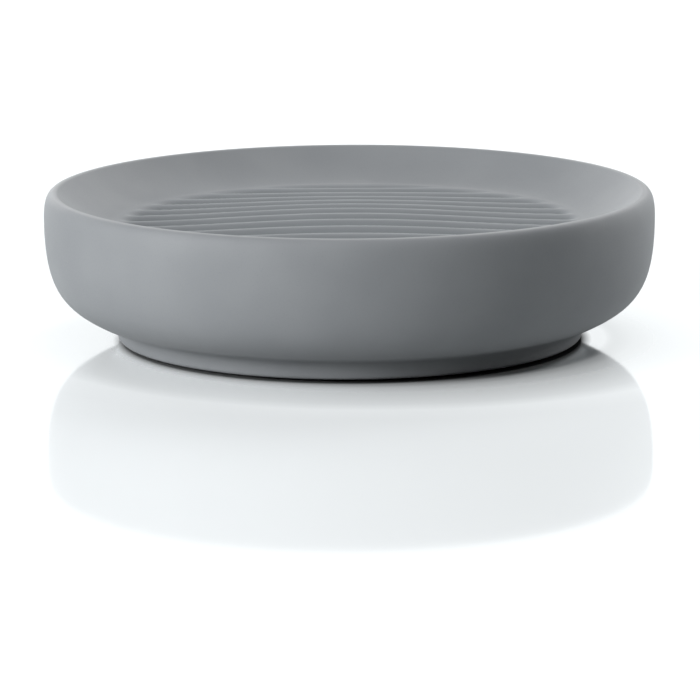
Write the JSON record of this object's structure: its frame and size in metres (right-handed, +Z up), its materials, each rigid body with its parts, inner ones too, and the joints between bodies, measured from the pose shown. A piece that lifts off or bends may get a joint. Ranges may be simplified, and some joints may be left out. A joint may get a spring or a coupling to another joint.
{
  "type": "soap dish",
  "caption": "Round matt grey soap dish with a soft rim, a concave flank, a crowned floor of straight drainage ribs and a rounded belly on a narrow foot with grip pads.",
  "frame": {"origin": "middle of the dish on the surface it rests on", "axes": "+Z up through the middle of the dish, +X along the ribs, -Y towards the side that the picture shows"},
  "size_m": [0.1192, 0.1192, 0.0294],
  "materials": {
    "ware": "matt",
    "plug": "matt",
    "pad": "matt"
  },
  "bodies": {
    "root": {"dish_body": "ware", "drain_plug": "plug", "grip_pad_1": "pad", "grip_pad_2": "pad", "grip_pad_3": "pad", "grip_pad_4": "pad"}
  },
  "joints": []
}
